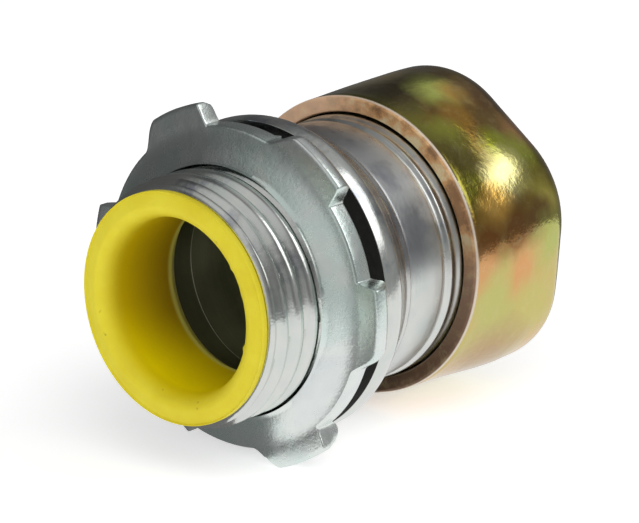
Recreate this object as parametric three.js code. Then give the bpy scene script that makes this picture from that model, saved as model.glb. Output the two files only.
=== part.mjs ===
// Half-inch compression connector for thin-wall steel conduit (EMT).
// Millimetres. The axis is Y: the threaded throat that enters the box points to -Y and the conduit goes
// in from +Y. The fitting lies on its side, Z is up, and the origin is on the axis at mid length.
//
// Places along the axis are stations, counted from the rim of the insulated throat towards the conduit.
// Angles are counted about +Y from +X towards -Z, so a right-hand thread climbs to +Y as they grow.

import * as THREE from 'three';

const TURN = 2 * Math.PI;
const DEGREE = Math.PI / 180;

// Trade sizes
const CONDUIT_RADIUS = 17.93 / 2;
const SOCKET_RADIUS = CONDUIT_RADIUS + 0.18;
const PIECE_GAP = 0.3;

// Front thread, 14 turns to the inch, for a half-inch knockout
const boxThread = { crest: 10.2, root: 9.5, pitch: 25.4 / 14, start: 0.9, end: 9.5 };

// Rear thread that carries the compression nut
const nutThread = { crest: 11.35, root: 10.75, pitch: 1.5, start: 21.9, end: 29.2 };

const body = {
  frontBore: 8.3,
  stopStation: 11.9,
  shoulderFront: 10.3,
  shoulderRear: 13.2,
  shoulderRadius: 13.3,
  shoulderEdge: 0.5,
  neckRadius: 11.2,
  neckStart: 15,
  rearEnd: 29.5,
  mouthRadius: 10.35,
  mouthTaperStart: 27.2,
};

const throat = {
  front: -0.2,
  rimRadius: 9.5,
  rimFlat: 1,
  rimEdge: 0.3,
  rimRear: 0.5,
  boreRadius: 7.1,
  boreStart: 0.9,
  sleeveRadius: body.frontBore - PIECE_GAP,
  rearEnd: 8.7,
  rearBevel: 0.35,
};

// The locknut is the same on both sides of its mirror line, which runs through the middle of a notch
const locknut = {
  boreRadius: 10.48,
  boreStation: 5.8,
  thickness: 1.7,
  dish: 1.1,
  notchRadius: 13.3,
  lobeRadius: 15.1,
  edgeBevel: 0.2,
  rearBevel: 0.4,
  mirrorLine: 333.7 * DEGREE,
  lobeSpacing: 60 * DEGREE,
  notchHalfAngle: 13.25 * DEGREE,
  steepAngle: 4.5 * DEGREE,
  slopingAngle: 11 * DEGREE,
};

const gasket = { front: 8.9, rear: 9.95, innerRadius: 10.5, outerRadius: 13.1 };

const nut = {
  front: 22.7,
  mouthRadius: 11.75,
  mouthLip: 0.3,
  rimRadius: 12.95,
  hexStart: 28.4,
  apothem: 13.3,
  cornerRounding: 8.5,
  firstFlat: 8.5 * DEGREE,
  rear: 36.2,
  rearRounding: 3.2,
  rearOpening: SOCKET_RADIUS + 0.2,
  boreEnd: 31.4,
  chamberRadius: 11,
  chamberEnd: 34.7,
};

const splitRing = {
  front: 29.65,
  coneEnd: 31.85,
  rear: 32.3,
  innerRadius: 9.25,
  noseRadius: 9.55,
  outerRadius: 10.7,
  gap: 1.6,
};

const seal = { front: 32.6, rear: 34.4, innerRadius: 9.2, outerRadius: 10.7, bevel: 0.4 };

const COLUMNS = 48;
const ROWS_PER_PITCH = 5;

const middleStation = (throat.front + nut.rear) / 2;

const zincPlate = { color: 0xb9bec0, roughness: 0.38, metalness: 0.9 };
const goldPlate = { color: 0xa8862f, roughness: 0.3, metalness: 0.9 };
const yellowNylon = { color: 0xdccb28, roughness: 0.45, metalness: 0 };
const blackRubber = { color: 0x1d1c19, roughness: 0.8, metalness: 0 };
const whiteNylon = { color: 0xd9d8cf, roughness: 0.5, metalness: 0 };

function smooth(from, to, value) {
  return THREE.MathUtils.smoothstep(value, from, to);
}

function evenAngles(count) {
  return Array.from({ length: count }, (_, index) => (index / count) * TURN);
}

// A ring about the axis. sectionAt(angle) gives that angle's outline as [radius, station] points,
// counterclockwise with radius to the right and station up. An open ring is capped at both ends.
function ringGeometry(angles, sectionAt, isOpen = false) {
  const sections = angles.map(sectionAt);
  const rows = sections[0].length;
  const positions = [];
  sections.forEach((section, column) => {
    const angle = angles[column];
    for (const [radius, station] of section) {
      positions.push(radius * Math.cos(angle), station - middleStation, -radius * Math.sin(angle));
    }
  });

  const triangles = [];
  const strips = isOpen ? sections.length - 1 : sections.length;
  for (let column = 0; column < strips; column += 1) {
    const here = column * rows;
    const next = ((column + 1) % sections.length) * rows;
    for (let row = 0; row < rows; row += 1) {
      const above = (row + 1) % rows;
      triangles.push(here + row, next + row, next + above);
      triangles.push(here + row, next + above, here + above);
    }
  }
  if (isOpen) {
    const outline = sections[0].map(([radius, station]) => new THREE.Vector2(radius, station));
    const last = strips * rows;
    for (const [a, b, c] of THREE.ShapeUtils.triangulateShape(outline, [])) {
      triangles.push(a, b, c);
      triangles.push(last + a, last + c, last + b);
    }
  }

  const geometry = new THREE.BufferGeometry();
  geometry.setAttribute('position', new THREE.Float32BufferAttribute(positions, 3));
  geometry.setIndex(triangles);
  geometry.computeVertexNormals();
  return geometry;
}

function ring(name, look, angles, sectionAt, isOpen) {
  const mesh = new THREE.Mesh(ringGeometry(angles, sectionAt, isOpen), new THREE.MeshStandardMaterial(look));
  mesh.name = name;
  return mesh;
}

// Radius of a right-hand thread with rounded crests and roots. A groove passes the thread's start at angle
// zero, and the crests fade to the root at both ends.
function threadRadius(thread, angle, station) {
  const phase = (station - thread.start) / thread.pitch - angle / TURN;
  const ridge = 0.5 - 0.5 * Math.cos(TURN * phase);
  const leadIn = smooth(thread.start, thread.start + 0.4 * thread.pitch, station);
  const runOut = 1 - smooth(thread.end - 0.4 * thread.pitch, thread.end, station);
  return thread.root + (thread.crest - thread.root) * ridge * leadIn * runOut;
}

function threadRows(thread, angle) {
  const count = Math.round(((thread.end - thread.start) / thread.pitch) * ROWS_PER_PITCH);
  return Array.from({ length: count + 1 }, (_, index) => {
    const station = THREE.MathUtils.lerp(thread.start, thread.end, index / count);
    return [threadRadius(thread, angle, station), station];
  });
}

// The steel body: front thread, shoulder, plain neck, rear thread, and a bore with a stop for the conduit.
function connectorBody() {
  const edge = body.shoulderEdge;
  const outer = body.shoulderRadius;
  return ring('connector_body', zincPlate, evenAngles(COLUMNS), (angle) => [
    [body.frontBore, boxThread.start],
    ...threadRows(boxThread, angle),
    [boxThread.root, body.shoulderFront],
    [outer - edge, body.shoulderFront],
    [outer - 0.3 * edge, body.shoulderFront + 0.3 * edge],
    [outer, body.shoulderFront + edge],
    [outer, body.shoulderRear - 1.2 * edge],
    [outer - 0.4 * edge, body.shoulderRear - 0.4 * edge],
    [outer - 1.4 * edge, body.shoulderRear + 0.3 * edge],
    [THREE.MathUtils.lerp(body.neckRadius, outer, 0.15), body.shoulderRear + edge],
    [body.neckRadius, body.neckStart],
    [body.neckRadius, nutThread.start - 0.4],
    ...threadRows(nutThread, angle),
    [nutThread.root, body.rearEnd],
    [body.mouthRadius, body.rearEnd],
    [SOCKET_RADIUS, body.mouthTaperStart],
    [SOCKET_RADIUS, body.stopStation],
    [body.frontBore, body.stopStation],
  ]);
}

// The nylon liner: a rim over the end of the thread, a bell mouth and a sleeve that smooths the bore.
function insulatedThroat() {
  const flatFrom = throat.rimRadius - throat.rimFlat;
  const mouthSteps = 4;
  const bellMouth = Array.from({ length: mouthSteps }, (_, step) => {
    const turn = ((mouthSteps - step) / (mouthSteps + 1)) * (Math.PI / 2);
    const radius = flatFrom - (flatFrom - throat.boreRadius) * Math.cos(turn);
    const station = throat.boreStart - (throat.boreStart - throat.front) * Math.sin(turn);
    return [radius, station];
  });
  const section = [
    [throat.boreRadius, throat.boreStart],
    ...bellMouth.reverse(),
    [flatFrom, throat.front],
    [throat.rimRadius - throat.rimEdge, throat.front],
    [throat.rimRadius, throat.front + throat.rimEdge],
    [throat.rimRadius, throat.rimRear],
    [throat.sleeveRadius, throat.rimRear],
    [throat.sleeveRadius, throat.rearEnd],
    [throat.boreRadius + throat.rearBevel, throat.rearEnd],
    [throat.boreRadius, throat.rearEnd - 2 * throat.rearBevel],
  ];
  return ring('insulated_throat', yellowNylon, evenAngles(COLUMNS), () => section);
}

// How far the outline has risen from notch to lobe, 0 to 1, at an angle from the mirror line. Each lobe rises
// steeply on the side towards the mirror line and slopes down on the other.
function lobeRise(fromMirror) {
  const { lobeSpacing, notchHalfAngle, steepAngle, slopingAngle } = locknut;
  const turn = THREE.MathUtils.euclideanModulo(fromMirror, lobeSpacing);
  const lobeEnd = lobeSpacing - notchHalfAngle;
  const up = smooth(notchHalfAngle, notchHalfAngle + steepAngle, turn);
  const down = 1 - smooth(lobeEnd - slopingAngle, lobeEnd, turn);
  return up * down;
}

// Angles from the mirror line to the far side, close together where the outline bends.
function halfLocknutAngles() {
  const { lobeSpacing, notchHalfAngle, steepAngle, slopingAngle } = locknut;
  const lobeEnd = lobeSpacing - notchHalfAngle;
  const steep = [0, 0.35, 0.65, 1].map((share) => notchHalfAngle + share * steepAngle);
  const crest = [0.33, 0.67].map((share) =>
    THREE.MathUtils.lerp(notchHalfAngle + steepAngle, lobeEnd - slopingAngle, share),
  );
  const sloping = [0, 0.3, 0.55, 0.8, 1].map((share) => lobeEnd - slopingAngle * (1 - share));
  const stops = [notchHalfAngle / 2, ...steep, ...crest, ...sloping, (lobeEnd + lobeSpacing) / 2];
  const halfTurn = Math.PI - 0.01;
  return [0, 1, 2]
    .flatMap((lobe) => [lobe * lobeSpacing, ...stops.map((stop) => lobe * lobeSpacing + stop)])
    .filter((angle) => angle > 0 && angle < halfTurn);
}

// One dished steel sheet with six lobes to drive it by.
function lobedLocknut() {
  const half = halfLocknutAngles();
  const farHalf = half.map((angle) => TURN - angle).reverse();
  const angles = [0, ...half, Math.PI, ...farHalf].map((angle) => locknut.mirrorLine + angle);

  const dished = (radius) =>
    locknut.boreStation + locknut.dish * smooth(locknut.boreRadius - 1, locknut.notchRadius, radius);
  return ring('locknut', zincPlate, angles, (angle) => {
    const turned = THREE.MathUtils.euclideanModulo(angle - locknut.mirrorLine, TURN);
    const rise = lobeRise(Math.min(turned, TURN - turned));
    const edge = THREE.MathUtils.lerp(locknut.notchRadius, locknut.lobeRadius, rise);
    const rearEdge = edge - locknut.rearBevel * rise;
    const frontRows = [0.1, 0.35, 0.65, 0.92].map((share) => {
      const radius = THREE.MathUtils.lerp(locknut.boreRadius, edge, share);
      return [radius, dished(radius)];
    });
    const rearRows = [0.92, 0.65, 0.35].map((share) => {
      const radius = THREE.MathUtils.lerp(locknut.boreRadius, rearEdge, share);
      return [radius, dished(radius) + locknut.thickness];
    });
    return [
      [locknut.boreRadius, locknut.boreStation + locknut.edgeBevel],
      ...frontRows,
      [edge, dished(edge) + locknut.edgeBevel],
      [rearEdge, dished(edge) + locknut.thickness - locknut.edgeBevel],
      ...rearRows,
      [locknut.boreRadius, dished(locknut.boreRadius) + locknut.thickness],
    ];
  });
}

// The face gasket that lies in the locknut's dish, against the shoulder.
function boxGasket() {
  const section = [
    [gasket.innerRadius, gasket.front],
    [gasket.outerRadius, gasket.front],
    [gasket.outerRadius, gasket.rear],
    [gasket.innerRadius, gasket.rear],
  ];
  return ring('box_gasket', blackRubber, evenAngles(COLUMNS), () => section);
}

// Radius at an angle of a hexagon with rounded corners. Its flats stay truly flat.
function roundedHexRadius(angle, apothem, rounding) {
  const side = TURN / 6;
  const turned = THREE.MathUtils.euclideanModulo(angle - nut.firstFlat + side / 2, side);
  const fromFlat = Math.abs(turned - side / 2);
  const cornerCentre = (apothem - rounding) / Math.cos(side / 2);
  const flatEnd = Math.atan(((apothem - rounding) * Math.tan(side / 2)) / apothem);
  if (fromFlat <= flatEnd) {
    return apothem / Math.cos(fromFlat);
  }
  const toCorner = side / 2 - fromFlat;
  const across = cornerCentre * Math.sin(toCorner);
  return cornerCentre * Math.cos(toCorner) + Math.sqrt(rounding * rounding - across * across);
}

// The drawn steel nut: a round rim that swells into a soft hexagon and closes in around the conduit.
function compressionNut() {
  const side = TURN / 6;
  const flatEnd = Math.atan(((nut.apothem - nut.cornerRounding) * Math.tan(side / 2)) / nut.apothem);
  const cornerSteps = 5;
  const sideStops = [-flatEnd, -flatEnd / 3, flatEnd / 3];
  for (let step = 0; step < cornerSteps; step += 1) {
    sideStops.push(THREE.MathUtils.lerp(flatEnd, side - flatEnd, step / cornerSteps));
  }
  const angles = Array.from({ length: 6 }, (_, index) =>
    sideStops.map((stop) => nut.firstFlat + index * side + stop),
  ).flat();

  const swellSteps = [0.25, 0.5, 0.75, 1];
  const roundingSteps = [0, 0.25, 0.5, 0.75, 1];
  return ring('compression_nut', goldPlate, angles, (angle) => {
    const fullHex = roundedHexRadius(angle, nut.apothem, nut.cornerRounding);
    const swell = swellSteps.map((share) => [
      THREE.MathUtils.lerp(nut.rimRadius, fullHex, smooth(0, 1, share)),
      THREE.MathUtils.lerp(nut.front + nut.mouthLip, nut.hexStart, share),
    ]);
    const closing = roundingSteps.map((share) => {
      const turn = (share * Math.PI) / 2;
      const inset = nut.rearRounding * (1 - Math.cos(turn));
      const station = nut.rear - nut.rearRounding * (1 - Math.sin(turn));
      return [roundedHexRadius(angle, nut.apothem - inset, nut.cornerRounding - inset), station];
    });
    return [
      [nut.mouthRadius, nut.front + nut.mouthLip],
      [nut.mouthRadius + nut.mouthLip, nut.front],
      [nut.rimRadius - nut.mouthLip / 2, nut.front],
      [nut.rimRadius, nut.front + nut.mouthLip],
      ...swell,
      ...closing,
      [nut.rearOpening + 0.25, nut.rear],
      [nut.rearOpening, nut.rear - 0.3],
      [nut.rearOpening, nut.chamberEnd],
      [nut.chamberRadius, nut.chamberEnd],
      [nut.mouthRadius, nut.boreEnd],
    ];
  });
}

// The split steel ring that grips the conduit once the nut drives its cone into the body's mouth.
function compressionRing() {
  const halfGap = splitRing.gap / 2 / splitRing.innerRadius;
  const steps = COLUMNS - 4;
  const angles = Array.from({ length: steps + 1 }, (_, index) =>
    THREE.MathUtils.lerp(halfGap, TURN - halfGap, index / steps),
  );
  const section = [
    [splitRing.innerRadius, splitRing.front],
    [splitRing.noseRadius, splitRing.front],
    [splitRing.outerRadius, splitRing.coneEnd],
    [splitRing.outerRadius, splitRing.rear],
    [splitRing.innerRadius, splitRing.rear],
  ];
  return ring('compression_ring', goldPlate, angles, () => section, true);
}

// The soft ring behind the split ring that keeps rain out of the nut.
function sealingRing() {
  const section = [
    [seal.innerRadius, seal.front],
    [seal.outerRadius, seal.front],
    [seal.outerRadius, seal.rear - seal.bevel],
    [seal.outerRadius - seal.bevel, seal.rear],
    [seal.innerRadius, seal.rear],
  ];
  return ring('sealing_ring', whiteNylon, evenAngles(COLUMNS), () => section);
}

const fitting = new THREE.Group();
fitting.add(connectorBody());
fitting.add(insulatedThroat());
fitting.add(boxGasket());
fitting.add(lobedLocknut());
fitting.add(compressionRing());
fitting.add(sealingRing());
fitting.add(compressionNut());

export default fitting;
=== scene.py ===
# Looks of the half-inch compression connector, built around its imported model.
# Every piece is a ring about the Y axis. Shapes are given in millimetres, as radius and station: stations
# run along the axis from the rim of the insulated throat towards the conduit, and angles run about +Y from
# +X towards -Z, as in the CAD.

import math

import bpy
import numpy as np
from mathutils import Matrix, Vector


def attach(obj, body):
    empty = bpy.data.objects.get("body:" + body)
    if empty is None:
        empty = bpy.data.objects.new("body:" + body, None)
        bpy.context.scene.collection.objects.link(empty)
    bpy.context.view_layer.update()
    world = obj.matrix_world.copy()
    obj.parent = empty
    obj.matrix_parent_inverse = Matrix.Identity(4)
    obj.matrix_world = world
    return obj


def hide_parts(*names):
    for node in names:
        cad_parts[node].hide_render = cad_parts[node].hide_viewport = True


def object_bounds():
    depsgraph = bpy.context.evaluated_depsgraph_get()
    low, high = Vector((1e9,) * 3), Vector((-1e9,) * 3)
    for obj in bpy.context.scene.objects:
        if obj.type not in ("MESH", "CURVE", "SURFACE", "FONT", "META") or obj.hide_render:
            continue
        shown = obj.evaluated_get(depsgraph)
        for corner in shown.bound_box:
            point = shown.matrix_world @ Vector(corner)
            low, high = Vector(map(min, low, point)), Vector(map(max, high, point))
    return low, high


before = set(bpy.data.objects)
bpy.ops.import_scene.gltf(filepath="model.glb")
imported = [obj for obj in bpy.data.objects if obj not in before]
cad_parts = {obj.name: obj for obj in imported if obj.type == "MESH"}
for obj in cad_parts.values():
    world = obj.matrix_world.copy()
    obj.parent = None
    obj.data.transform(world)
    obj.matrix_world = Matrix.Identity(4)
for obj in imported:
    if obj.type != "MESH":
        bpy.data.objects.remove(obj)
cad_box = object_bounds()

MM = 0.001
TURN = 2 * math.pi
MIDDLE_STATION = 18.0

# Steel body
SOCKET_RADIUS = 9.145
BORE_RADIUS = 8.3
NECK_RADIUS = 11.2
SHOULDER_RADIUS = 13.3
BODY_FRONT = 0.6
BODY_REAR = 29.5
SHOULDER_FRONT = 10.5
STOP_STATION = 11.9

# Threads: the flank is the share of a turn from the bottom of a groove to the top of a ridge, the crown says
# how round the top is, and the collar is the share of a ridge's height that the thread starts from
BOX_THREAD = {
    "crest": 10.2,
    "root": 9.5,
    "pitch": 25.4 / 14,
    "start": 0.9,
    "end": 9.5,
    "flank": 0.3,
    "crown": 0.35,
    "collar": 0.45,
}
NUT_THREAD = {
    "crest": 11.37,
    "root": 11.08,
    "pitch": 1.5,
    "start": 20.75,
    "end": 29.2,
    "flank": 0.5,
    "crown": 0.0,
    "collar": 0.0,
}
FADE_TURNS = 0.45
THREAD_UNEVENNESS = 0.015

# Liner in the throat
LINER_BORE = 7.1
LINER_MOUTH = 8.25
MOUTH_DEPTH = 1.4
LINER_RIM = 9.4
LINER_FRONT = -0.17
RIM_REAR = 0.56
LINER_OUTSIDE = 8.0
LINER_REAR = 8.7
LINER_BURRS = [(-36, 3, 0.1), (14, 2.2, 0.13), (-20, 5, 0.05)]

# Gasket
GASKET_BORE = 10.5
GASKET_EDGE = 13.08
GASKET_FRONT = 8.75
GASKET_REAR = 10.45

# Locknut: each lobe has a steep side and a sloping side, and the lobes are mirrored about one line. Burrs,
# like the nut's swellings, are given by angle and half width in degrees, and height.
LOCKNUT_BORE = 10.32
LOCKNUT_FRONT = 5.8
LOCKNUT_DISH = 1.1
LOCKNUT_THICKNESS = 1.7
NOTCH_RADIUS = 13.3
LOBE_RADIUS = 15.08
LOBE_SPACING = math.radians(60)
NOTCH_HALF = math.radians(13.25)
STEEP_SIDE = math.radians(3.2)
SLOPING_SIDE = math.radians(11)
MIRROR_LINE = math.radians(333.7)
LOCKNUT_BURRS = [(48.3, 2.2, 1), (286.6, 1.6, 0.55), (348.6, 1.8, 0.8)]

# Compression nut, whose uneven side is inset a little to stay inside the CAD's box
NUT_APOTHEM = 13.3
NUT_ROUNDING = 8.5
NUT_FIRST_FLAT = math.radians(8.5)
NUT_RIM_RADIUS = 12.95
NUT_FRONT = 22.72
NUT_REAR = 36.2
NUT_MOUTH = 11.48
NUT_INSIDE = 11.75
NUT_REAR_BORE = 9.345
REAR_ROUNDING = 3.4
SIDE_REAR = 32.6
SIDE_INSET = 0.05
NUT_SWELLINGS = [(30, 42, 0.32), (-95, 40, 0.1)]

# Rings inside the nut
RING_BORE = 9.25
RING_EDGE = 10.7
RING_GAP = 1.6
SEAL_BORE = 9.2


# ---------------------------------------------------------------- shapes


def smooth(low, high, value):
    share = np.clip((value - low) / (high - low), 0, 1)
    return share * share * (3 - 2 * share)


def mix(low, high, share):
    return low + (high - low) * share


def bump_at(angle, centre, half_width):
    """A soft bump, 1 at the centre angle and 0 half a width away, with angles in degrees."""
    away = (np.degrees(angle) - centre + 180) % 360 - 180
    return smooth(half_width, 0, np.abs(away))


def bumps(angle, spots):
    """Soft bumps together, each given by its angle, half width and height."""
    return sum(height * bump_at(angle, centre, half_width) for centre, half_width, height in spots)


def ripple(angle, along, seed, waves=5):
    """A gentle unevenness between about -1 and 1, which closes on itself round the ring."""
    draw = np.random.default_rng(seed)
    total = 0
    for count in range(1, waves + 1):
        shift, slant = draw.uniform(0, TURN), draw.uniform(-0.5, 0.5)
        total = total + np.sin((count + 1) * angle + shift + slant * along) / (1 + 0.4 * count)
    return total / 2


def toward(here, there, distance):
    """The point a distance from here on the way there."""
    radial, along = there[0] - here[0], there[1] - here[1]
    length = np.hypot(radial, along)
    return here[0] + radial / length * distance, here[1] + along / length * distance


def rounded(corners, steps=5):
    """An outline whose corners (radius, station, rounding) are cut by smooth curves."""
    points = []
    for index, here in enumerate(corners):
        rounding = here[2]
        if rounding == 0:
            points.append(here[:2])
            continue
        before = corners[index - 1]
        after = corners[(index + 1) % len(corners)]
        entry, leave = toward(here, before, rounding), toward(here, after, rounding)
        for step in range(steps + 1):
            share = step / steps
            weights = (1 - share) ** 2, 2 * share * (1 - share), share**2
            ends = zip(entry, here, leave)
            points.append(tuple(weights[0] * a + weights[1] * b + weights[2] * c for a, b, c in ends))
    return points


def ring_quads(columns, rows, closed):
    """Faces between neighbouring columns of outline points, and end caps where the ring is open."""
    column = np.arange(columns if closed else columns - 1)[:, None]
    row = np.arange(rows)[None, :]
    here, beside = column * rows, (column + 1) % columns * rows
    above = (row + 1) % rows
    faces = np.stack([here + row, beside + row, beside + above, here + above], axis=2).reshape(-1, 4).tolist()
    if not closed:
        faces.append(list(range(rows)))
        faces.append([(columns - 1) * rows + point for point in reversed(range(rows))])
    return faces


def ring(name, section, columns=720, span=None):
    """A solid ring. section(angles) lists outline points (radius, station), counterclockwise with radius to
    the right and station up, each a number or one value for each angle. With a span it is open and capped."""
    if span is None:
        angles = np.linspace(0, TURN, columns, endpoint=False)
    else:
        angles = np.linspace(*span, columns)
    outline = section(angles)
    radius = np.stack([np.broadcast_to(point[0], angles.shape) for point in outline], axis=1)
    station = np.stack([np.broadcast_to(point[1], angles.shape) for point in outline], axis=1)
    across, up = np.cos(angles)[:, None], -np.sin(angles)[:, None]
    places = np.stack([radius * across, station - MIDDLE_STATION, radius * up], axis=2) * MM

    mesh = bpy.data.meshes.new(name)
    faces = ring_quads(columns, len(outline), closed=span is None)
    mesh.from_pydata(places.reshape(-1, 3).tolist(), [], faces)
    mesh.validate()
    mesh.shade_smooth()
    mesh.set_sharp_from_angle(angle=math.radians(38))
    piece = bpy.data.objects.new(name, mesh)
    bpy.context.scene.collection.objects.link(piece)
    return piece


def thread_radius(thread, angle, station):
    """Radius of a right-hand rolled thread, which fades out at both ends."""
    start, end, fade = thread["start"], thread["end"], FADE_TURNS * thread["pitch"]
    turns = (station - start) / thread["pitch"] - angle / TURN
    from_groove = np.abs((turns + 0.5) % 1 - 0.5)
    flat_topped = smooth(0.02, thread["flank"], from_groove)
    round_topped = smooth(0, 0.5, from_groove)
    ridge = mix(flat_topped, round_topped, thread["crown"])
    lead_in = smooth(start, start + fade, station)
    run_out = 1 - smooth(end - fade, end, station)
    collar = thread["collar"] * (1 - lead_in)
    return mix(thread["root"], thread["crest"], np.maximum(ridge * lead_in * run_out, collar))


def thread_rows(thread, angle, rows_per_pitch=12):
    count = round((thread["end"] - thread["start"]) / thread["pitch"] * rows_per_pitch)
    rows = []
    for index in range(count + 1):
        station = mix(thread["start"], thread["end"], index / count)
        rolled = THREAD_UNEVENNESS * (ripple(angle * 3, station, 5) - 1)
        rows.append((thread_radius(thread, angle, station) + rolled, station))
    return rows


def shoulder_corners(angle):
    """The flange that the box wall is pulled against, crowned, and its slope down to the neck."""
    dent = 0.012 * ripple(angle, 0, 11)
    return [
        (BOX_THREAD["root"], 9.7, 0),
        (BOX_THREAD["root"] - 0.02, SHOULDER_FRONT - 0.05, 0.2),
        (SHOULDER_RADIUS - 0.22 + dent, SHOULDER_FRONT, 0.07),
        (SHOULDER_RADIUS - 0.03 + dent, 11.5, 0.4),
        (SHOULDER_RADIUS - 0.1 + dent, 12.3, 0.4),
        (12.35, 13.6, 0.5),
        (11.6, 14.9, 0.4),
        (11.5, 15.8, 0.2),
        (NECK_RADIUS - 0.06, 16.15, 0.1),
        (NECK_RADIUS - 0.02, 16.4, 0.1),
        (NECK_RADIUS - 0.02, 20.3, 0),
    ]


def socket_corners():
    """The body's rear end, its flared socket and the stop that the conduit rests on."""
    return [
        (NUT_THREAD["root"], 29.3, 0),
        (NUT_THREAD["root"], BODY_REAR, 0.12),
        (10.35, BODY_REAR, 0.1),
        (SOCKET_RADIUS, 27.2, 0.4),
        (SOCKET_RADIUS, 20, 0),
        (SOCKET_RADIUS, STOP_STATION, 0.06),
        (BORE_RADIUS + 0.3, STOP_STATION, 0.05),
        (BORE_RADIUS, STOP_STATION - 0.35, 0.05),
        (BORE_RADIUS, 5, 0),
    ]


def body_section(angle):
    return [
        (BORE_RADIUS, BODY_FRONT),
        (LINER_RIM + 0.02, BODY_FRONT),
        (LINER_RIM + 0.3, BODY_FRONT + 0.15),
        *thread_rows(BOX_THREAD, angle),
        *rounded(shoulder_corners(angle), steps=6)[1:],
        (NECK_RADIUS - 0.04, 20.6),
        *thread_rows(NUT_THREAD, angle),
        *rounded(socket_corners()),
    ]


def liner_section(angle):
    """The liner has a bell mouth, with three burrs on its edge, and a rim that covers the end of the body."""
    wave = 0.03 * ripple(angle, 0, 21)
    bore = LINER_BORE + wave
    burr = bumps(angle, LINER_BURRS)
    mouth = []
    for turn in np.linspace(0, math.pi / 2, 12):
        radius = mix(LINER_MOUTH, bore, math.sin(turn))
        inward = burr * smooth(8.0, 7.3, radius)
        mouth.append((radius - inward, mix(LINER_FRONT, MOUTH_DEPTH, 1 - math.cos(turn))))
    rim = LINER_RIM + 0.05 * np.cos(angle - math.radians(135)) + wave * 0.5
    outer = [
        (rim, LINER_FRONT, 0.3),
        (rim, RIM_REAR, 0.04),
        (LINER_OUTSIDE, RIM_REAR, 0.05),
        (LINER_OUTSIDE, LINER_REAR, 0.1),
        (bore + 0.5, LINER_REAR, 0.1),
        (bore + 0.02, LINER_REAR - 0.8, 0.15),
        (bore, 5, 0),
    ]
    return list(reversed(mouth)) + rounded(outer)


def gasket_section(angle):
    """The gasket's edge is uneven, and pinched in at the top."""
    edge = GASKET_EDGE + 0.02 * ripple(angle, 0, 61) - 0.8 * bump_at(angle, -90, 55)
    return rounded(
        [
            (GASKET_BORE, GASKET_FRONT, 0.1),
            (edge - 0.1, GASKET_FRONT, 0.15),
            (edge, GASKET_REAR, 0.06),
            (GASKET_BORE, GASKET_REAR, 0.1),
        ]
    )


def lobe_rise(angle):
    """0 in the notches and 1 on the lobes, which rise steeply on the side towards the mirror line."""
    turned = (angle - MIRROR_LINE) % TURN
    from_mirror = np.minimum(turned, TURN - turned)
    place = from_mirror % LOBE_SPACING
    lobe_end = LOBE_SPACING - NOTCH_HALF
    rise = smooth(NOTCH_HALF, NOTCH_HALF + STEEP_SIDE, place)
    fall = 1 - smooth(lobe_end - SLOPING_SIDE, lobe_end, place)
    return rise * fall


def locknut_edges(angle):
    """Radius of the outline in front and behind, a little uneven, with one worn lobe."""
    rise = lobe_rise(angle)
    crest = LOBE_RADIUS - 0.06 - 1.2 * bump_at(angle, 118, 24)
    edge = mix(NOTCH_RADIUS, crest, rise) + 0.03 * ripple(angle * 2, 0, 31)
    return edge, edge - 0.35 * rise


def dished(angle, radius):
    """Station of the locknut's front face, which is dished and slightly warped."""
    dish = LOCKNUT_DISH * smooth(LOCKNUT_BORE - 1, NOTCH_RADIUS, radius)
    warp = 0.07 * ripple(angle, 0, 32) * smooth(10.5, 14, radius)
    return LOCKNUT_FRONT + dish + warp


def locknut_face(angle, edge, shares, depth=0):
    """Points at shares of the way from the bore to the edge, at a depth behind the front face."""
    radii = [mix(LOCKNUT_BORE, edge, share) for share in shares]
    return [(radius, dished(angle, radius) + depth) for radius in radii]


def locknut_lip(angle, edge, rear_edge):
    """Corners of the outer edge, with the burrs that the punch left behind the lobes."""
    burr = bumps(angle, LOCKNUT_BURRS)
    [inner_end] = locknut_face(angle, edge, [0.92])
    front = dished(angle, edge)
    rear = front + LOCKNUT_THICKNESS - 0.02
    return [
        (*inner_end, 0),
        (edge - 0.02, front + 0.04, 0.2),
        (edge, front + 0.9, 0),
        (mix(edge, rear_edge, 0.5), front + 1.35, 0.1),
        (rear_edge, rear + 0.75 * burr, 0.1),
        (rear_edge - 0.32, rear + 0.25 * burr, 0.1),
    ]


def locknut_section(angle):
    """A dished stamping with lobes, and a plain bore."""
    edge, rear_edge = locknut_edges(angle)
    bore = [
        (LOCKNUT_BORE, dished(angle, LOCKNUT_BORE) + LOCKNUT_THICKNESS, 0.12),
        (LOCKNUT_BORE, LOCKNUT_FRONT + 0.1, 0.05),
        (LOCKNUT_BORE + 0.06, LOCKNUT_FRONT + 0.02, 0.02),
    ]
    return [
        *locknut_face(angle, edge, np.linspace(0.06, 0.91, 22)),
        *rounded(locknut_lip(angle, edge, rear_edge), steps=3),
        *locknut_face(angle, rear_edge, np.linspace(0.88, 0.05, 12), depth=LOCKNUT_THICKNESS),
        *rounded(bore, steps=3),
    ]


def flat_end(apothem, rounding):
    """Angle from the middle of a flat to where its rounded corner starts."""
    return np.arctan((apothem - rounding) * math.tan(TURN / 12) / apothem)


def hex_radius(angle, apothem, rounding):
    """Radius of a hexagon with rounded corners."""
    side = TURN / 6
    from_flat = np.abs((angle - NUT_FIRST_FLAT + side / 2) % side - side / 2)
    centre = (apothem - rounding) / math.cos(side / 2)
    to_corner = side / 2 - from_flat
    half_chord = np.sqrt(np.maximum(rounding**2 - (centre * np.sin(to_corner)) ** 2, 0))
    corner = centre * np.cos(to_corner) + half_chord
    return np.where(from_flat <= flat_end(apothem, rounding), apothem / np.cos(from_flat), corner)


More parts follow.
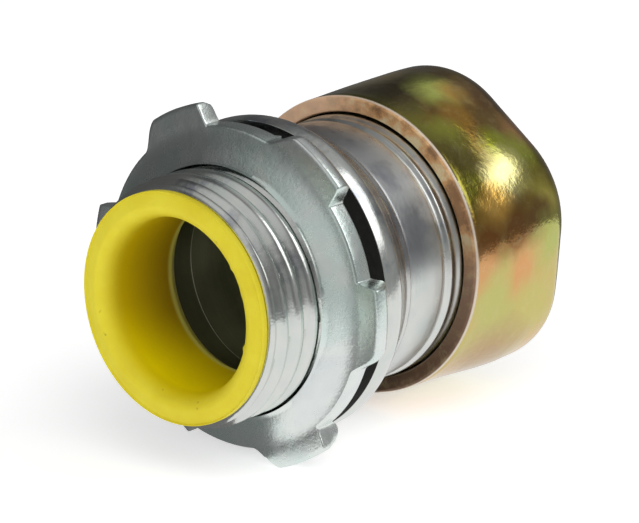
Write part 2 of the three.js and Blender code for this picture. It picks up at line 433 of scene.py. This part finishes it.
def nut_mouth_corners():
    """The nut's mouth and the flat face of its rim."""
    return [
        (NUT_INSIDE, 25.5, 0),
        (NUT_MOUTH, 24.3, 0.3),
        (NUT_MOUTH, 23.0, 0.2),
        (NUT_MOUTH + 0.14, NUT_FRONT, 0.08),
        (NUT_RIM_RADIUS - 0.28, NUT_FRONT, 0.1),
        (NUT_RIM_RADIUS, NUT_FRONT + 0.23, 0.12),
    ]


def nut_side(angle):
    """The side, from a round rim to a soft hexagon, uneven and with one shallow dimple."""
    full = hex_radius(angle, NUT_APOTHEM - SIDE_INSET, NUT_ROUNDING) + bumps(angle, NUT_SWELLINGS)
    points = []
    for station in np.linspace(23.25, SIDE_REAR, 40):
        swell = mix(NUT_RIM_RADIUS, full, smooth(21.5, 31.5, station))
        dent = 0.04 * ripple(angle, station, 41, waves=6) * smooth(24, 27, station)
        dimple = 0.26 * bump_at(angle, -41, 19) * smooth(3.6, 0, abs(station - 27.0))
        points.append((swell + dent - dimple - SIDE_INSET, station))
    return points


def nut_rear(angle):
    """The rounding that closes the nut in round the conduit."""
    rounding = REAR_ROUNDING - 0.9 * bump_at(angle, 20, 60)
    dent = 0.04 * ripple(angle, SIDE_REAR, 41, waves=6) + bumps(angle, NUT_SWELLINGS)
    points = []
    for turn in np.linspace(0.06, math.pi / 2, 18):
        inset = rounding * (1 - math.cos(turn))
        closing = hex_radius(angle, NUT_APOTHEM - SIDE_INSET - inset, NUT_ROUNDING - inset)
        station = NUT_REAR - rounding * (1 - math.sin(turn))
        points.append((closing + dent * math.cos(turn) - SIDE_INSET, station))
    return points


def nut_inside_corners():
    """The hole for the conduit and the hollow that holds the two rings."""
    return [
        (NUT_REAR_BORE + 0.255, NUT_REAR, 0.12),
        (NUT_REAR_BORE, NUT_REAR - 0.3, 0.12),
        (NUT_REAR_BORE, NUT_REAR - 1.5, 0.08),
        (11.0, NUT_REAR - 1.5, 0.15),
        (NUT_INSIDE, 31.4, 0.2),
        (NUT_INSIDE, 28, 0),
    ]


def nut_section(angle):
    return [
        *rounded(nut_mouth_corners()),
        *nut_side(angle),
        *nut_rear(angle),
        *rounded(nut_inside_corners()),
    ]


def split_ring_section(angle):
    return rounded(
        [
            (RING_BORE, 29.65, 0.08),
            (RING_BORE + 0.3, 29.65, 0.1),
            (RING_EDGE, 31.85, 0.12),
            (RING_EDGE, 32.3, 0.1),
            (RING_BORE, 32.3, 0.1),
        ]
    )


def seal_section(angle):
    return rounded(
        [
            (SEAL_BORE, 32.6, 0.15),
            (RING_EDGE, 32.6, 0.2),
            (RING_EDGE, 34.4, 0.45),
            (SEAL_BORE, 34.4, 0.15),
        ]
    )


# ---------------------------------------------------------------- materials


class Finish:
    """A procedural material: a Principled shader and short calls for the nodes that feed it. Its methods
    take places on the part in millimetres."""

    def __init__(self, name, **sockets):
        self.material = bpy.data.materials.new(name)
        self.material.use_nodes = True
        self.tree = self.material.node_tree
        self.shader = self.tree.nodes["Principled BSDF"]
        for socket, value in sockets.items():
            self.shader.inputs[socket.replace("_", " ")].default_value = value
        self.place = self.tree.nodes.new("ShaderNodeTexCoord").outputs["Object"]

    def wire(self, value, socket):
        if isinstance(value, bpy.types.NodeSocket):
            self.tree.links.new(value, socket)
        else:
            socket.default_value = value

    def node(self, kind, inputs, **settings):
        node = self.tree.nodes.new(kind)
        for key, value in settings.items():
            setattr(node, key, value)
        for key, value in inputs.items():
            self.wire(value, node.inputs[key])
        return node

    def math(self, operation, *values):
        return self.node("ShaderNodeMath", dict(enumerate(values)), operation=operation).outputs[0]

    def add(self, first, second):
        return self.math("ADD", first, second)

    def times(self, first, second):
        return self.math("MULTIPLY", first, second)

    def vector(self, operation, inputs, output=0):
        return self.node("ShaderNodeVectorMath", inputs, operation=operation).outputs[output]

    def remap(self, value, low, high, to_low=0.0, to_high=1.0):
        inputs = {"Value": value, "From Min": low, "From Max": high, "To Min": to_low, "To Max": to_high}
        return self.node("ShaderNodeMapRange", inputs).outputs["Result"]

    def ramp(self, value, stops):
        node = self.node("ShaderNodeValToRGB", {"Fac": value})
        elements = node.color_ramp.elements
        while len(elements) < len(stops):
            elements.new(0.5)
        for element, (position, colour) in zip(elements, stops):
            element.position = position
            element.color = (*colour, 1)
        return node.outputs["Color"]

    def blend(self, share, first, second):
        """The first colour where the share is 0 and the second where it is 1."""
        node = self.node("ShaderNodeMix", {}, data_type="RGBA")
        for index, value in ((0, share), (6, first), (7, second)):
            if isinstance(value, tuple):
                value = (*value, 1)
            self.wire(value, node.inputs[index])
        return node.outputs[2]

    def noise(self, across, along, detail=4, roughness=0.55):
        """Noise scaled in the ring's plane and along its axis."""
        scale = (across, along, across)
        where = self.node("ShaderNodeMapping", {"Vector": self.place, "Scale": scale}).outputs[0]
        settings = {"Scale": 1.0, "Detail": detail, "Roughness": roughness}
        return self.node("ShaderNodeTexNoise", {"Vector": where, **settings}).outputs["Fac"]

    def axis(self, name, where=None):
        return self.node("ShaderNodeSeparateXYZ", {"Vector": where or self.place}).outputs[name]

    def from_axis(self):
        flat = self.vector("MULTIPLY", {0: self.place, 1: (1, 0, 1)})
        return self.vector("LENGTH", {0: flat}, "Value")

    def outward(self, low, high, to_low=0.0, to_high=1.0):
        """A value that changes between two radii."""
        return self.remap(self.from_axis(), low * MM, high * MM, to_low, to_high)

    def upward(self, low, high, to_low=0.0, to_high=1.0, where=None):
        """A value that changes between two heights above the axis."""
        return self.remap(self.axis("Z", where), low * MM, high * MM, to_low, to_high)

    def along(self, low, high, to_low=0.0, to_high=1.0):
        """A value that changes between two stations."""
        low_place, high_place = (low - MIDDLE_STATION) * MM, (high - MIDDLE_STATION) * MM
        return self.remap(self.axis("Y"), low_place, high_place, to_low, to_high)

    def band(self, station, outer, inner):
        """1 within the inner distance from a station and 0 beyond the outer one."""
        away = self.math("SUBTRACT", self.axis("Y"), (station - MIDDLE_STATION) * MM)
        return self.remap(self.math("ABSOLUTE", away), outer * MM, inner * MM)

    def near(self, where, angle, station, radius, reach):
        """1 close to a spot of the surface and 0 beyond its reach."""
        turn = math.radians(angle)
        across, up = radius * math.cos(turn), -radius * math.sin(turn)
        spot = (across * MM, (station - MIDDLE_STATION) * MM, up * MM)
        away = self.vector("DISTANCE", {0: where, 1: spot}, "Value")
        return self.remap(away, reach * 1.1 * MM, reach * 0.4 * MM)

    def warped(self, scale, reach):
        """Places pushed about by soft noise, so that what is drawn with them has ragged edges."""
        scaled = self.node("ShaderNodeMapping", {"Vector": self.place, "Scale": (scale, scale, scale)})
        noise = self.node("ShaderNodeTexNoise", {"Vector": scaled.outputs[0], "Scale": 1.0, "Detail": 3.0})
        centred = self.vector("SUBTRACT", {0: noise.outputs["Color"], 1: (0.5, 0.5, 0.5)})
        push = self.vector("SCALE", {0: centred, 3: reach * MM})
        return self.vector("ADD", {0: self.place, 1: push})

    def bump(self, height, distance, under=None):
        """A bump whose distance is in metres."""
        inputs = {"Height": height, "Distance": distance, "Strength": 1.0}
        if under is not None:
            inputs["Normal"] = under
        return self.node("ShaderNodeBump", inputs).outputs[0]

    def drive(self, **sockets):
        for socket, value in sockets.items():
            self.tree.links.new(value, self.shader.inputs[socket.replace("_", " ")])
        return self.material


def zinc_film(look, blotch, film):
    """Colour of the body's outside: blotchy zinc, with mottled painted shade on its upper side that the lower
    side is free of, and more painted shade on the top of the neck.
    """
    colour = look.ramp(
        blotch,
        [(0.32, (0.70, 0.73, 0.72)), (0.5, (0.80, 0.82, 0.78)), (0.68, (0.70, 0.76, 0.73))],
    )
    colour = look.blend(look.remap(film, 0.35, 0.75, 0, 0.35), colour, (0.84, 0.84, 0.81))
    # Mottled painted shade, only on the upper side, in the tints below
    mottled_top_shade = look.remap(look.noise(330, 330, roughness=0.6), 0.5, 0.66)
    mottled_top_shade = look.times(look.times(mottled_top_shade, 0.6), look.upward(0, 5))
    tint = look.ramp(film, [(0.45, (0.27, 0.28, 0.38)), (0.6, (0.35, 0.35, 0.29))])
    colour = look.blend(mottled_top_shade, colour, tint)
    # Mottled painted shade in the fillet where the shoulder meets the neck, on the upper side
    neck = look.times(look.band(16.4, 4.0, 1.6), look.remap(blotch, 0.35, 0.6, 0.4, 0.85))
    return look.blend(look.times(neck, look.upward(0, 3)), colour, (0.30, 0.31, 0.34))


def zinc_plate():
    """Turned and zinc plated steel: bright, with marks that run round it, dull near the nut, with painted
    shade inside but for a painted highlight on the edge of the stop."""
    look = Finish("zinc_plate", Metallic=1.0)
    blotch = look.noise(160, 160, detail=3)
    film = look.noise(420, 420, detail=5, roughness=0.65)
    marks = look.noise(60, 3600, detail=3, roughness=0.6)
    # Painted shade inside the body, in the bore and the socket
    inside = look.outward(9.35, 9.25)
    # A painted highlight on the rounded edge of the conduit stop
    stop_edge_highlight = look.times(look.band(STOP_STATION - 0.18, 0.26, 0.18), look.outward(8.7, 8.6))
    colour = look.blend(inside, zinc_film(look, blotch, film), (0.20, 0.21, 0.12))
    colour = look.blend(stop_edge_highlight, colour, (0.85, 0.85, 0.7))
    rough = look.add(look.remap(marks, 0.3, 0.7, 0.1, 0.18), look.remap(film, 0.3, 0.7, 0.0, 0.08))
    rough = look.add(rough, look.times(inside, 0.3))
    rough = look.add(rough, look.along(14.0, 16.5, 0, 0.14))
    normal = look.bump(marks, 0.000005)
    normal = look.bump(look.noise(600, 600), 0.00003, under=normal)
    normal = look.bump(look.noise(6000, 6000, detail=2), 0.000004, under=normal)
    return look.drive(Base_Color=colour, Roughness=rough, Normal=normal)


def locknut_zinc():
    """Stamped steel, zinc plated: satin, faintly blue-green, with small pits and drawing scratches."""
    look = Finish("locknut_zinc", Metallic=1.0)
    blotch = look.noise(110, 110, detail=3)
    fine = look.noise(700, 700, detail=6, roughness=0.7)
    colour = look.ramp(
        blotch,
        [
            (0.30, (0.76, 0.81, 0.83)),
            (0.45, (0.90, 0.94, 0.91)),
            (0.60, (0.78, 0.92, 0.87)),
            (0.75, (0.94, 0.96, 0.91)),
        ],
    )
    colour = look.blend(look.remap(fine, 0.45, 0.75, 0, 0.4), colour, (0.88, 0.90, 0.90))
    grain = look.noise(5000, 5000, detail=3, roughness=0.7)
    rough = look.add(look.remap(fine, 0.3, 0.7, 0.18, 0.28), look.remap(blotch, 0.3, 0.7, 0.0, 0.06))
    normal = look.bump(look.noise(350, 350, detail=3), 0.00006)
    normal = look.bump(grain, 0.000016, under=normal)
    return look.drive(Base_Color=colour, Roughness=rough, Normal=normal)


# Soft patches of the nut's film, with painted light and shade among them: the near-white one at -31 degrees
# is a painted highlight and the darkest ones, all on the upper side, are painted shade. Angle in degrees,
# station, reach, colour
FILM_AND_LIGHT_PATCHES = [
    (-103, 28.5, 4, (0.95, 0.75, 0.30)),
    (-82, 26.0, 4, (0.12, 0.08, 0.02)),
    (-73, 28.7, 3, (0.90, 1.00, 0.22)),
    (-69, 30.2, 2.2, (0.80, 0.48, 0.10)),
    (-62, 33.2, 3.5, (0.18, 0.09, 0.03)),
    (-58, 28.0, 2.2, (0.48, 0.26, 0.04)),
    (-50, 31.5, 2.5, (0.26, 0.16, 0.04)),
    (-51, 25.3, 2.4, (0.45, 0.48, 0.06)),
    (-46, 34.2, 2.5, (0.65, 0.33, 0.14)),
    (-44, 29.8, 2, (0.40, 0.44, 0.04)),
    (-37, 31.8, 2.4, (0.46, 0.50, 0.07)),
    (-46, 24.3, 2.6, (0.17, 0.13, 0.02)),
    (-42, 26.8, 2, (0.24, 0.19, 0.04)),
    # A painted highlight, the hot spot of the studio's glow
    (-31, 28.8, 3, (1.00, 0.93, 0.42)),
    (-22, 26.2, 2.4, (1.00, 0.60, 0.13)),
    (-19, 32.2, 3, (1.00, 0.88, 0.18)),
    (-12, 28.2, 3, (0.28, 0.11, 0.03)),
    (-9, 24.3, 3, (0.30, 0.10, 0.02)),
    (-13, 31, 2.6, (0.26, 0.13, 0.04)),
    (2, 23.6, 2.5, (0.80, 0.42, 0.17)),
    (5, 29.0, 2.8, (0.84, 0.41, 0.16)),
    (-4, 32.6, 2.8, (0.54, 0.58, 0.15)),
    (12, 25.4, 3, (0.62, 0.60, 0.19)),
    (20, 31.4, 4, (0.69, 0.60, 0.19)),
    (43, 27.6, 5, (0.55, 0.37, 0.20)),
]


def nut_side_film(look):
    """Colour of the nut's side: painted shade above and a painted reflection of the pale floor below, with
    the soft patches, some of them painted light and shade, drawn over it.
    """
    clouds = look.noise(110, 110)
    light = look.ramp(
        clouds,
        [(0.36, (0.64, 0.58, 0.20)), (0.5, (0.72, 0.55, 0.19)), (0.64, (0.80, 0.48, 0.19))],
    )
    dark = look.ramp(
        clouds,
        [(0.38, (0.28, 0.26, 0.03)), (0.5, (0.30, 0.19, 0.03)), (0.62, (0.16, 0.09, 0.02))],
    )
    where = look.warped(260, 3.2)
    # Painted shade on the upper side and a painted reflection of the pale floor on the lower side
    colour = look.blend(look.upward(2.2, 4.6, where=where), light, dark)
    for angle, station, reach, tint in FILM_AND_LIGHT_PATCHES:
        patch = look.near(where, angle, station, NUT_APOTHEM, reach)
        colour = look.blend(look.times(patch, 0.9), colour, tint)
    return colour


def nut_rim_film(look, salmon):
    """Colour of the rim's flat face: coppery flecks, salmon at the top left, painted shade below, a painted
    highlight on the pale outer edge and painted shade at the mouth."""
    flecks = look.noise(500, 500, roughness=0.6)
    colour = look.ramp(
        flecks,
        [(0.40, (1.0, 0.80, 0.48)), (0.50, (0.90, 0.50, 0.22)), (0.62, (0.40, 0.21, 0.10))],
    )
    # Painted shade on the lower part of the rim, brown and then dark
    colour = look.blend(look.upward(5, -1), colour, (0.30, 0.18, 0.12))
    colour = look.blend(look.upward(0, -7, 0, 0.85), colour, (0.12, 0.07, 0.04))
    # A painted highlight along the rounded outer edge
    colour = look.blend(look.outward(12.78, 12.86, 0, 0.8), colour, (1.0, 0.90, 0.75))
    # Painted shade where the face turns into the mouth
    colour = look.blend(look.outward(11.6, 11.5), colour, (0.10, 0.09, 0.02))
    return look.blend(look.times(salmon, 0.75), colour, (1.0, 0.66, 0.44))


def gold_dichromate():
    """Yellow dichromate over zinc: glossy, in soft patches from dark olive through gold to salmon, with
    painted light and shade among the patches and over the side and rim. The rim is rougher and a little
    chalky."""
    look = Finish("gold_dichromate", Metallic=1.0, Coat_Weight=0.2, Coat_Roughness=0.06)
    fine = look.noise(900, 900, detail=5, roughness=0.7)
    rim = look.along(23.15, 22.95)
    salmon = look.near(look.place, -118, 22.7, 12.3, 7.5)
    colour = look.blend(rim, nut_side_film(look), nut_rim_film(look, salmon))
    colour = look.blend(look.remap(fine, 0.5, 0.8, 0, 0.25), colour, (0.80, 0.70, 0.36))
    rough = look.add(look.remap(fine, 0.3, 0.7, 0.12, 0.2), look.times(rim, 0.25))
    normal = look.bump(look.noise(420, 420), 0.0001)
    normal = look.bump(look.noise(4000, 4000, detail=3), 0.00001, under=normal)
    chalky = look.times(rim, look.add(look.upward(-4, 5, 0.05, 0.4), look.times(salmon, 0.4)))
    metal = look.math("SUBTRACT", 1, chalky)
    return look.drive(Base_Color=colour, Roughness=rough, Metallic=metal, Normal=normal)


def ring_steel():
    look = Finish("ring_steel", Metallic=1.0)
    marks = look.noise(80, 4000, detail=3)
    colour = look.ramp(marks, [(0.3, (0.48, 0.42, 0.26)), (0.7, (0.68, 0.62, 0.42))])
    rough = look.remap(marks, 0.3, 0.7, 0.28, 0.42)
    return look.drive(Base_Color=colour, Roughness=rough, Normal=look.bump(marks, 0.00001))


def yellow_nylon():
    """Satin moulded nylon with a few specks. Painted shade darkens the bore, darker and more orange towards
    its far end, a painted pool of light brightens the bore's lower side, and a painted highlight makes the
    thin rear lip pale.
    """
    look = Finish("yellow_nylon", Subsurface_Weight=0.12, Subsurface_Scale=0.001, Specular_IOR_Level=0.15)
    look.shader.inputs["Subsurface Radius"].default_value = (1.0, 0.8, 0.05)
    cloud = look.noise(240, 240)
    colour = look.ramp(cloud, [(0.35, (0.70, 0.58, 0.03)), (0.65, (0.76, 0.66, 0.045))])
    # Painted shade in the bore, from the mouth inwards
    bore = look.along(0.1, 2.0)
    # A painted pool of light on the lower side of the bore
    low = look.times(bore, look.upward(-1.5, -6))
    # Painted shade towards the far end of the bore, weaker on its lower side
    deep_shade = look.times(look.along(1.5, 7.0), look.upward(-6.5, -3, 0.4, 1))
    # A painted highlight on the thin rear lip
    lip = look.along(LINER_REAR - 1.4, LINER_REAR - 1.1, 0, 0.8)
    specks = look.remap(look.noise(900, 900, detail=2), 0.74, 0.78)
    colour = look.blend(bore, colour, (0.66, 0.48, 0.001))
    colour = look.blend(low, colour, (0.98, 0.80, 0.001))
    colour = look.blend(deep_shade, colour, (0.42, 0.28, 0.001))
    colour = look.blend(lip, colour, (0.70, 0.70, 0.16))
    colour = look.blend(look.times(specks, 0.6), colour, (0.25, 0.19, 0.02))
    grain = look.noise(3500, 3500, detail=3)
    rough = look.remap(grain, 0.3, 0.7, 0.42, 0.55)
    return look.drive(Base_Color=colour, Roughness=rough, Normal=look.bump(grain, 0.00002))


def white_nylon():
    look = Finish("white_nylon", Subsurface_Weight=0.1, Subsurface_Scale=0.001)
    cloud = look.noise(500, 500)
    colour = look.ramp(cloud, [(0.35, (0.70, 0.69, 0.63)), (0.65, (0.80, 0.79, 0.74))])
    return look.drive(Base_Color=colour, Roughness=look.remap(cloud, 0.3, 0.7, 0.42, 0.55))


def black_rubber():
    look = Finish("black_rubber", Specular_IOR_Level=0.15)
    speck = look.noise(1800, 1800, detail=5, roughness=0.7)
    colour = look.ramp(speck, [(0.35, (0.004, 0.004, 0.0035)), (0.7, (0.012, 0.012, 0.010))])
    rough = look.remap(speck, 0.3, 0.7, 0.65, 0.9)
    return look.drive(Base_Color=colour, Roughness=rough, Normal=look.bump(speck, 0.00004))


# ---------------------------------------------------------------- pieces


def fit_out(name, section, node, body, slot, material, **options):
    """Builds a piece that takes a CAD node's place and rides on its body."""
    piece = ring(name, section, **options)
    piece.data.materials.append(material)
    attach(piece, body)
    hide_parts(node)


def split_ring_span():
    half_gap = RING_GAP / 2 / RING_BORE
    return half_gap, TURN - half_gap


fit_out("steel_body", body_section, "connector_body", "fitting", "zinc_plate", zinc_plate(), columns=420)
fit_out("throat_liner", liner_section, "insulated_throat", "fitting", "yellow_nylon", yellow_nylon())
fit_out("face_gasket", gasket_section, "box_gasket", "gasket", "black_rubber", black_rubber(), columns=240)
fit_out("lobed_locknut", locknut_section, "locknut", "locknut", "locknut_zinc", locknut_zinc(), columns=1440)
fit_out("gold_nut", nut_section, "compression_nut", "nut", "gold_dichromate", gold_dichromate())
fit_out(
    "split_ring",
    split_ring_section,
    "compression_ring",
    "gland_rings",
    "ring_steel",
    ring_steel(),
    columns=240,
    span=split_ring_span(),
)
fit_out("nylon_seal", seal_section, "sealing_ring", "gland_rings", "white_nylon", white_nylon(), columns=240)


# ---------------------------------------------------------------- stage, light and camera, in metres

FLOOR_RADIUS = 3.0

# Metal mirrors a lit card that lies on the floor, mostly to the right of the fitting
CARD_CENTRE = (0.046, 0.005)
CARD_HALF_SIZE = (0.044, 0.085)

# Soft glows of the studio: azimuth, elevation, half width in degrees, strength
GLOWS = [
    (46, 46, 12, 1.5),
    (70, 52, 17, 0.3),
    (5, 50, 20, 0.2),
    (178, 50, 28, 0.38),
    (65, -12, 36, 0.12),
    (175, -10, 30, 0.12),
    (180, 1, 13, 0.3),
    (68, 31, 12, 1.5),
    (-90, 15, 50, -0.09),
]
STUDIO_GREY = 0.17

# The camera stands where the photograph was taken from
CAMERA_PLACE = (0.120792, -0.148861, 0.056571)
CAMERA_AIM = (-0.603295, 0.745122, -0.284302)
CAMERA_LENS = 135.2
CAMERA_SENSOR = 36


def floor_sheet(name, centre, half_size, height, material):
    """A flat round or oval sheet."""
    places = []
    for angle in np.linspace(0, TURN, 128, endpoint=False):
        x = centre[0] + half_size[0] * math.cos(angle)
        y = centre[1] + half_size[1] * math.sin(angle)
        places.append((x, y, height))
    mesh = bpy.data.meshes.new(name)
    mesh.from_pydata(places, [], [tuple(range(len(places)))])
    mesh.materials.append(material)
    sheet = bpy.data.objects.new(name, mesh)
    bpy.context.scene.collection.objects.link(sheet)
    return sheet


def glowing_paint(name, albedo, glow):
    """Matt white that also glows a little, as a lit table does."""
    look = Finish(name, Roughness=0.9, Specular_IOR_Level=0.1, Emission_Strength=glow)
    look.shader.inputs["Emission Color"].default_value = (1, 1, 1, 1)
    cloud = look.noise(4, 4, detail=2)
    colour = look.ramp(cloud, [(0.3, (albedo,) * 3), (0.7, (albedo * 0.98,) * 3)])
    return look.drive(Base_Color=colour)


def aimed(here, there):
    """Rotation of a lamp or camera that looks from one point towards another."""
    return (Vector(there) - Vector(here)).to_track_quat("-Z", "Y").to_euler()


def soft_light(name, place, size, power):
    """A round lamp aimed at the part, which metal doesn't mirror."""
    data = bpy.data.lights.new(name, "AREA")
    data.shape = "DISK"
    data.size = size
    data.energy = power
    lamp = bpy.data.objects.new(name, data)
    lamp.location = place
    lamp.rotation_euler = aimed(place, (0, 0, 0))
    lamp.visible_glossy = False
    bpy.context.scene.collection.objects.link(lamp)


def direction(azimuth, elevation):
    """A unit vector: azimuth from +Y towards +X, and elevation above the horizon, in degrees."""
    turn, rise = math.radians(azimuth), math.radians(elevation)
    return math.sin(turn) * math.cos(rise), math.cos(turn) * math.cos(rise), math.sin(rise)


def glow_node(tree, place, azimuth, elevation, half_width, strength):
    """A round soft-edged glow on the world's sphere."""
    towards = tree.nodes.new("ShaderNodeVectorMath")
    towards.operation = "DOT_PRODUCT"
    towards.inputs[1].default_value = direction(azimuth, elevation)
    tree.links.new(place, towards.inputs[0])
    glow = tree.nodes.new("ShaderNodeMapRange")
    glow.interpolation_type = "SMOOTHSTEP"
    glow.inputs["From Min"].default_value = math.cos(math.radians(half_width * 1.6))
    glow.inputs["From Max"].default_value = math.cos(math.radians(half_width * 0.4))
    glow.inputs["To Min"].default_value = 0
    glow.inputs["To Max"].default_value = strength
    tree.links.new(towards.outputs["Value"], glow.inputs["Value"])
    return glow.outputs["Result"]


def studio_world():
    world = bpy.data.worlds.new("studio")
    bpy.context.scene.world = world
    world.use_nodes = True
    tree = world.node_tree
    background = tree.nodes["Background"]
    place = tree.nodes.new("ShaderNodeTexCoord").outputs["Generated"]
    total = None
    for glow in GLOWS:
        add = tree.nodes.new("ShaderNodeMath")
        add.operation = "ADD"
        tree.links.new(glow_node(tree, place, *glow), add.inputs[0])
        if total is None:
            add.inputs[1].default_value = STUDIO_GREY
        else:
            tree.links.new(total, add.inputs[1])
        total = add.outputs[0]
    tree.links.new(total, background.inputs["Color"])
    background.inputs["Strength"].default_value = 1.0


def set_camera():
    data = bpy.data.cameras.new("camera")
    data.sensor_width = CAMERA_SENSOR
    data.lens = CAMERA_LENS
    data.clip_start = 0.005
    camera = bpy.data.objects.new("camera", data)
    camera.location = CAMERA_PLACE
    camera.rotation_euler = aimed((0, 0, 0), CAMERA_AIM)
    bpy.context.scene.collection.objects.link(camera)
    bpy.context.scene.camera = camera


floor_height = cad_box[0].z
floor_paint = glowing_paint("floor_paint", 0.9, 0.55)
floor = floor_sheet("floor", (0, 0), (FLOOR_RADIUS, FLOOR_RADIUS), floor_height, floor_paint)
floor.visible_glossy = False

card = floor_sheet("card", CARD_CENTRE, CARD_HALF_SIZE, floor_height, glowing_paint("card_paint", 0.1, 0.76))
card.visible_camera = False
card.visible_diffuse = False
card.visible_shadow = False

soft_light("top_light", (0.45, -0.25, 0.60), 0.7, 2.0)
soft_light("front_light", (0.10, -0.80, 0.25), 0.4, 1.3)
studio_world()
set_camera()
bpy.context.scene.view_settings.view_transform = "Standard"
